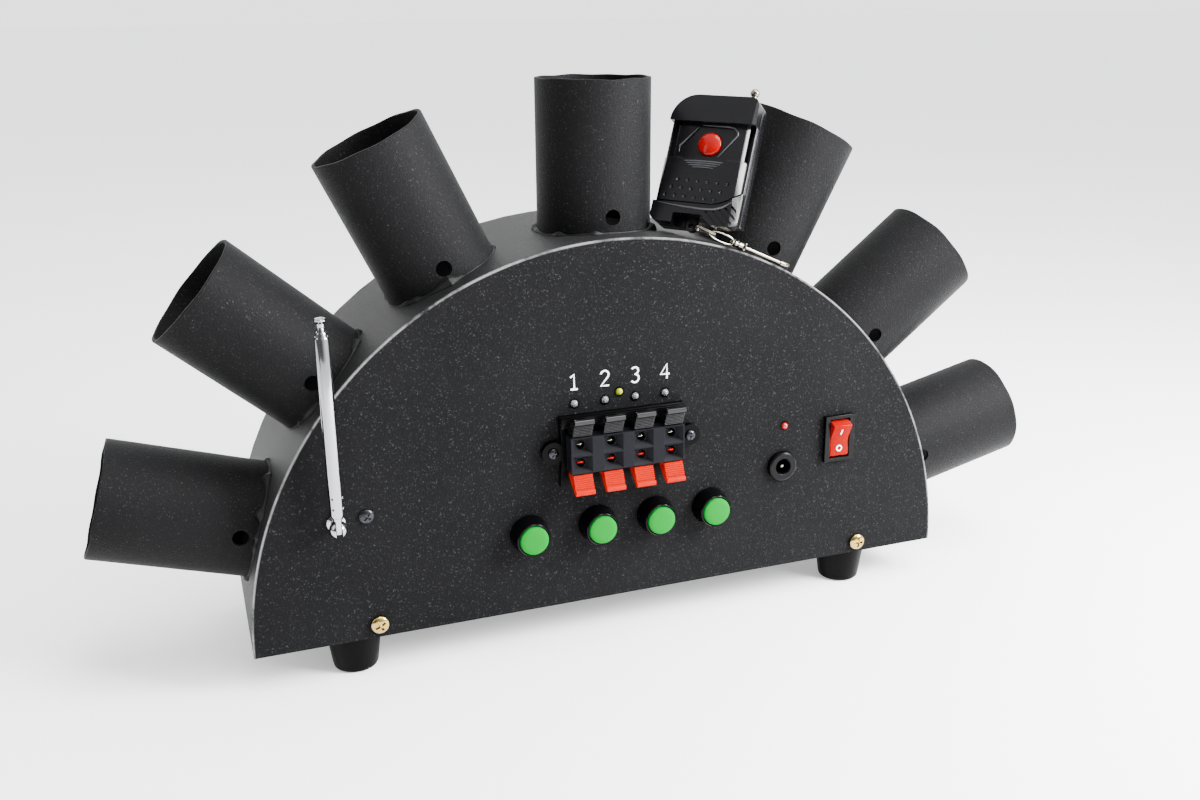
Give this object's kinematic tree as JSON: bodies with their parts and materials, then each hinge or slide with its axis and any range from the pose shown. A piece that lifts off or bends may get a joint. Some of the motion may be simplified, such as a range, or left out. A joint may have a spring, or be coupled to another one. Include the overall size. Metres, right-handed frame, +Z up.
{
  "type": "cold spark machine",
  "caption": "Half-round stage spark fountain firing base with angled open barrels on its rim, push terminal, test buttons, power switch, folding antenna and a key-ring remote.",
  "frame": {"origin": "on the surface that the feet stand on, under the middle of the whole machine's outline", "axes": "+X to the right along the front panel, +Y from the front panel to the back panel, +Z up"},
  "size_m": [0.4419, 0.1024, 0.2396],
  "materials": {
    "battery_wrap": "blue shrink wrap",
    "black_plastic": "black moulded, satin",
    "board_green": "green circuit board",
    "brass": "yellow plated",
    "chrome": "polished",
    "dark_plastic": "dark grey levers",
    "green_plastic": "bright green moulded",
    "grey_plastic": "dark grey moulded",
    "nickel": "bright nickel",
    "powder_coat": "black fine-textured powder coat",
    "red_lens": "red translucent",
    "red_plastic": "orange red moulded",
    "rim_coat": "smooth dark grey powder coat",
    "rubber": "black moulded rubber",
    "zinc": "zinc plated"
  },
  "bodies": {
    "case": {"back_panel": "powder_coat", "barrel_1": "powder_coat", "barrel_2": "powder_coat", "barrel_3": "powder_coat", "barrel_4": "powder_coat", "barrel_5": "powder_coat", "barrel_6": "powder_coat", "barrel_7": "powder_coat", "battery": "battery_wrap", "battery_strap": "zinc", "bottom_plate": "powder_coat", "button_collar_1": "black_plastic", "button_collar_2": "black_plastic", "button_collar_3": "black_plastic", "button_collar_4": "black_plastic", "case_screw_back_left": "brass", "case_screw_back_right": "brass", "case_screw_front_left": "brass", "case_screw_front_right": "brass", "charge_led": "red_lens", "control_board": "board_green", "dc_inlet": "black_plastic", "dc_pin": "nickel", "foot_back_left": "rubber", "foot_back_right": "rubber", "foot_front_left": "rubber", "foot_front_right": "rubber", "front_panel": "powder_coat", "led_board": "board_green", "rim_band": "rim_coat", "switch_frame": "black_plastic", "terminal_base": "black_plastic", "terminal_block": "grey_plastic"},
    "red_lever_1": {"red_lever_1": "red_plastic"},
    "red_lever_2": {"red_lever_2": "red_plastic"},
    "red_lever_3": {"red_lever_3": "red_plastic"},
    "red_lever_4": {"red_lever_4": "red_plastic"},
    "black_lever_1": {"black_lever_1": "dark_plastic"},
    "black_lever_2": {"black_lever_2": "dark_plastic"},
    "black_lever_3": {"black_lever_3": "dark_plastic"},
    "black_lever_4": {"black_lever_4": "dark_plastic"},
    "button_cap_1": {"button_cap_1": "green_plastic"},
    "button_cap_2": {"button_cap_2": "green_plastic"},
    "button_cap_3": {"button_cap_3": "green_plastic"},
    "button_cap_4": {"button_cap_4": "green_plastic"},
    "power_rocker": {"power_rocker": "red_lens"},
    "antenna_fork": {"antenna_fork": "chrome"},
    "antenna_mast": {"antenna_mast": "chrome"},
    "antenna_section_1": {"antenna_section_1": "chrome"},
    "antenna_section_2": {"antenna_section_2": "chrome"},
    "antenna_tip": {"antenna_tip": "chrome"},
    "remote": {"remote_back": "black_plastic", "remote_front": "black_plastic"},
    "slide_cover": {"slide_cover": "black_plastic"},
    "remote_key": {"remote_key": "red_plastic"},
    "remote_whip": {"remote_whip": "chrome"},
    "key_ring": {"key_ring": "chrome"},
    "snap_hook": {"snap_hook": "chrome"},
    "hook_gate": {"hook_gate": "chrome"}
  },
  "joints": [
    {"name": "red_lever_1_press", "type": "hinge", "parent": "case", "child": "red_lever_1", "pos_m": [-0.02095, -0.04255, 0.079], "axis": [1, 0, 0], "range_deg": [0, 12], "stiffness_Nm_per_rad": 0.03, "springref_deg": -8.59},
    {"name": "red_lever_2_press", "type": "hinge", "parent": "case", "child": "red_lever_2", "pos_m": [-0.00725, -0.04255, 0.079], "axis": [1, 0, 0], "range_deg": [0, 12], "stiffness_Nm_per_rad": 0.03, "springref_deg": -8.59},
    {"name": "red_lever_3_press", "type": "hinge", "parent": "case", "child": "red_lever_3", "pos_m": [0.00645, -0.04255, 0.079], "axis": [1, 0, 0], "range_deg": [0, 12], "stiffness_Nm_per_rad": 0.03, "springref_deg": -8.59},
    {"name": "red_lever_4_press", "type": "hinge", "parent": "case", "child": "red_lever_4", "pos_m": [0.02015, -0.04255, 0.079], "axis": [1, 0, 0], "range_deg": [0, 12], "stiffness_Nm_per_rad": 0.03, "springref_deg": -8.59},
    {"name": "black_lever_1_press", "type": "hinge", "parent": "case", "child": "black_lever_1", "pos_m": [-0.02095, -0.04255, 0.099], "axis": [-1, 0, 0], "range_deg": [0, 12], "stiffness_Nm_per_rad": 0.03, "springref_deg": -8.59},
    {"name": "black_lever_2_press", "type": "hinge", "parent": "case", "child": "black_lever_2", "pos_m": [-0.00725, -0.04255, 0.099], "axis": [-1, 0, 0], "range_deg": [0, 12], "stiffness_Nm_per_rad": 0.03, "springref_deg": -8.59},
    {"name": "black_lever_3_press", "type": "hinge", "parent": "case", "child": "black_lever_3", "pos_m": [0.00645, -0.04255, 0.099], "axis": [-1, 0, 0], "range_deg": [0, 12], "stiffness_Nm_per_rad": 0.03, "springref_deg": -8.59},
    {"name": "black_lever_4_press", "type": "hinge", "parent": "case", "child": "black_lever_4", "pos_m": [0.02015, -0.04255, 0.099], "axis": [-1, 0, 0], "range_deg": [0, 12], "stiffness_Nm_per_rad": 0.03, "springref_deg": -8.59},
    {"name": "button_1_press", "type": "slide", "parent": "case", "child": "button_cap_1", "axis": [0, 1, 0], "range_m": [0, 0.002], "stiffness_N_per_m": 400, "springref_m": -0.001},
    {"name": "button_2_press", "type": "slide", "parent": "case", "child": "button_cap_2", "axis": [0, 1, 0], "range_m": [0, 0.002], "stiffness_N_per_m": 400, "springref_m": -0.001},
    {"name": "button_3_press", "type": "slide", "parent": "case", "child": "button_cap_3", "axis": [0, 1, 0], "range_m": [0, 0.002], "stiffness_N_per_m": 400, "springref_m": -0.001},
    {"name": "button_4_press", "type": "slide", "parent": "case", "child": "button_cap_4", "axis": [0, 1, 0], "range_m": [0, 0.002], "stiffness_N_per_m": 400, "springref_m": -0.001},
    {"name": "power_rocker_switch", "type": "hinge", "parent": "case", "child": "power_rocker", "pos_m": [0.106, -0.03715, 0.0772], "axis": [-1, 0, 0], "range_deg": [0, 22]},
    {"name": "antenna_swivel", "type": "hinge", "parent": "case", "child": "antenna_fork", "pos_m": [-0.1228, -0.03755, 0.0715], "axis": [0, 1, 0], "range_deg": [-90, 60]},
    {"name": "antenna_fold", "type": "hinge", "parent": "antenna_fork", "child": "antenna_mast", "pos_m": [-0.1228, -0.04555, 0.0715], "axis": [1, 0, 0], "range_deg": [0, 90]},
    {"name": "antenna_section_1_pull", "type": "slide", "parent": "antenna_mast", "child": "antenna_section_1", "axis": [0, 0, 1], "range_m": [0, 0.058]},
    {"name": "antenna_section_2_pull", "type": "slide", "parent": "antenna_section_1", "child": "antenna_section_2", "axis": [0, 0, 1], "range_m": [0, 0.058]},
    {"name": "antenna_tip_pull", "type": "slide", "parent": "antenna_section_2", "child": "antenna_tip", "axis": [0, 0, 1], "range_m": [0, 0.058]},
    {"name": "remote_lift_off", "type": "slide", "parent": "case", "child": "remote", "axis": [0, 0, 1], "range_m": [0, 0.06]},
    {"name": "slide_cover_open", "type": "slide", "parent": "remote", "child": "slide_cover", "axis": [0.3455, 0.2961, 0.8905], "range_m": [0, 0.016]},
    {"name": "remote_key_press", "type": "slide", "parent": "remote", "child": "remote_key", "axis": [0.63, 0.63, -0.454], "range_m": [0, 0.0008], "stiffness_N_per_m": 300, "springref_m": -0.001},
    {"name": "remote_whip_pull", "type": "slide", "parent": "remote", "child": "remote_whip", "axis": [0.3455, 0.2961, 0.8905], "range_m": [0, 0.038]},
    {"name": "key_ring_swing", "type": "hinge", "parent": "remote", "child": "key_ring", "pos_m": [0.03785, -0.02472, 0.17713], "axis": [-0.63, -0.63, 0.454], "range_deg": [0, 4]},
    {"name": "snap_hook_swing", "type": "hinge", "parent": "key_ring", "child": "snap_hook", "pos_m": [0.04481, -0.03361, 0.17445], "axis": [-0.63, -0.63, 0.454], "range_deg": [0, 10]},
    {"name": "hook_gate_open", "type": "hinge", "parent": "snap_hook", "child": "hook_gate", "pos_m": [0.05817, -0.03592, 0.16822], "axis": [0.4225, -0.0001, 0.9064], "range_deg": [0, 13], "stiffness_Nm_per_rad": 0.004, "springref_deg": -11.46}
  ]
}
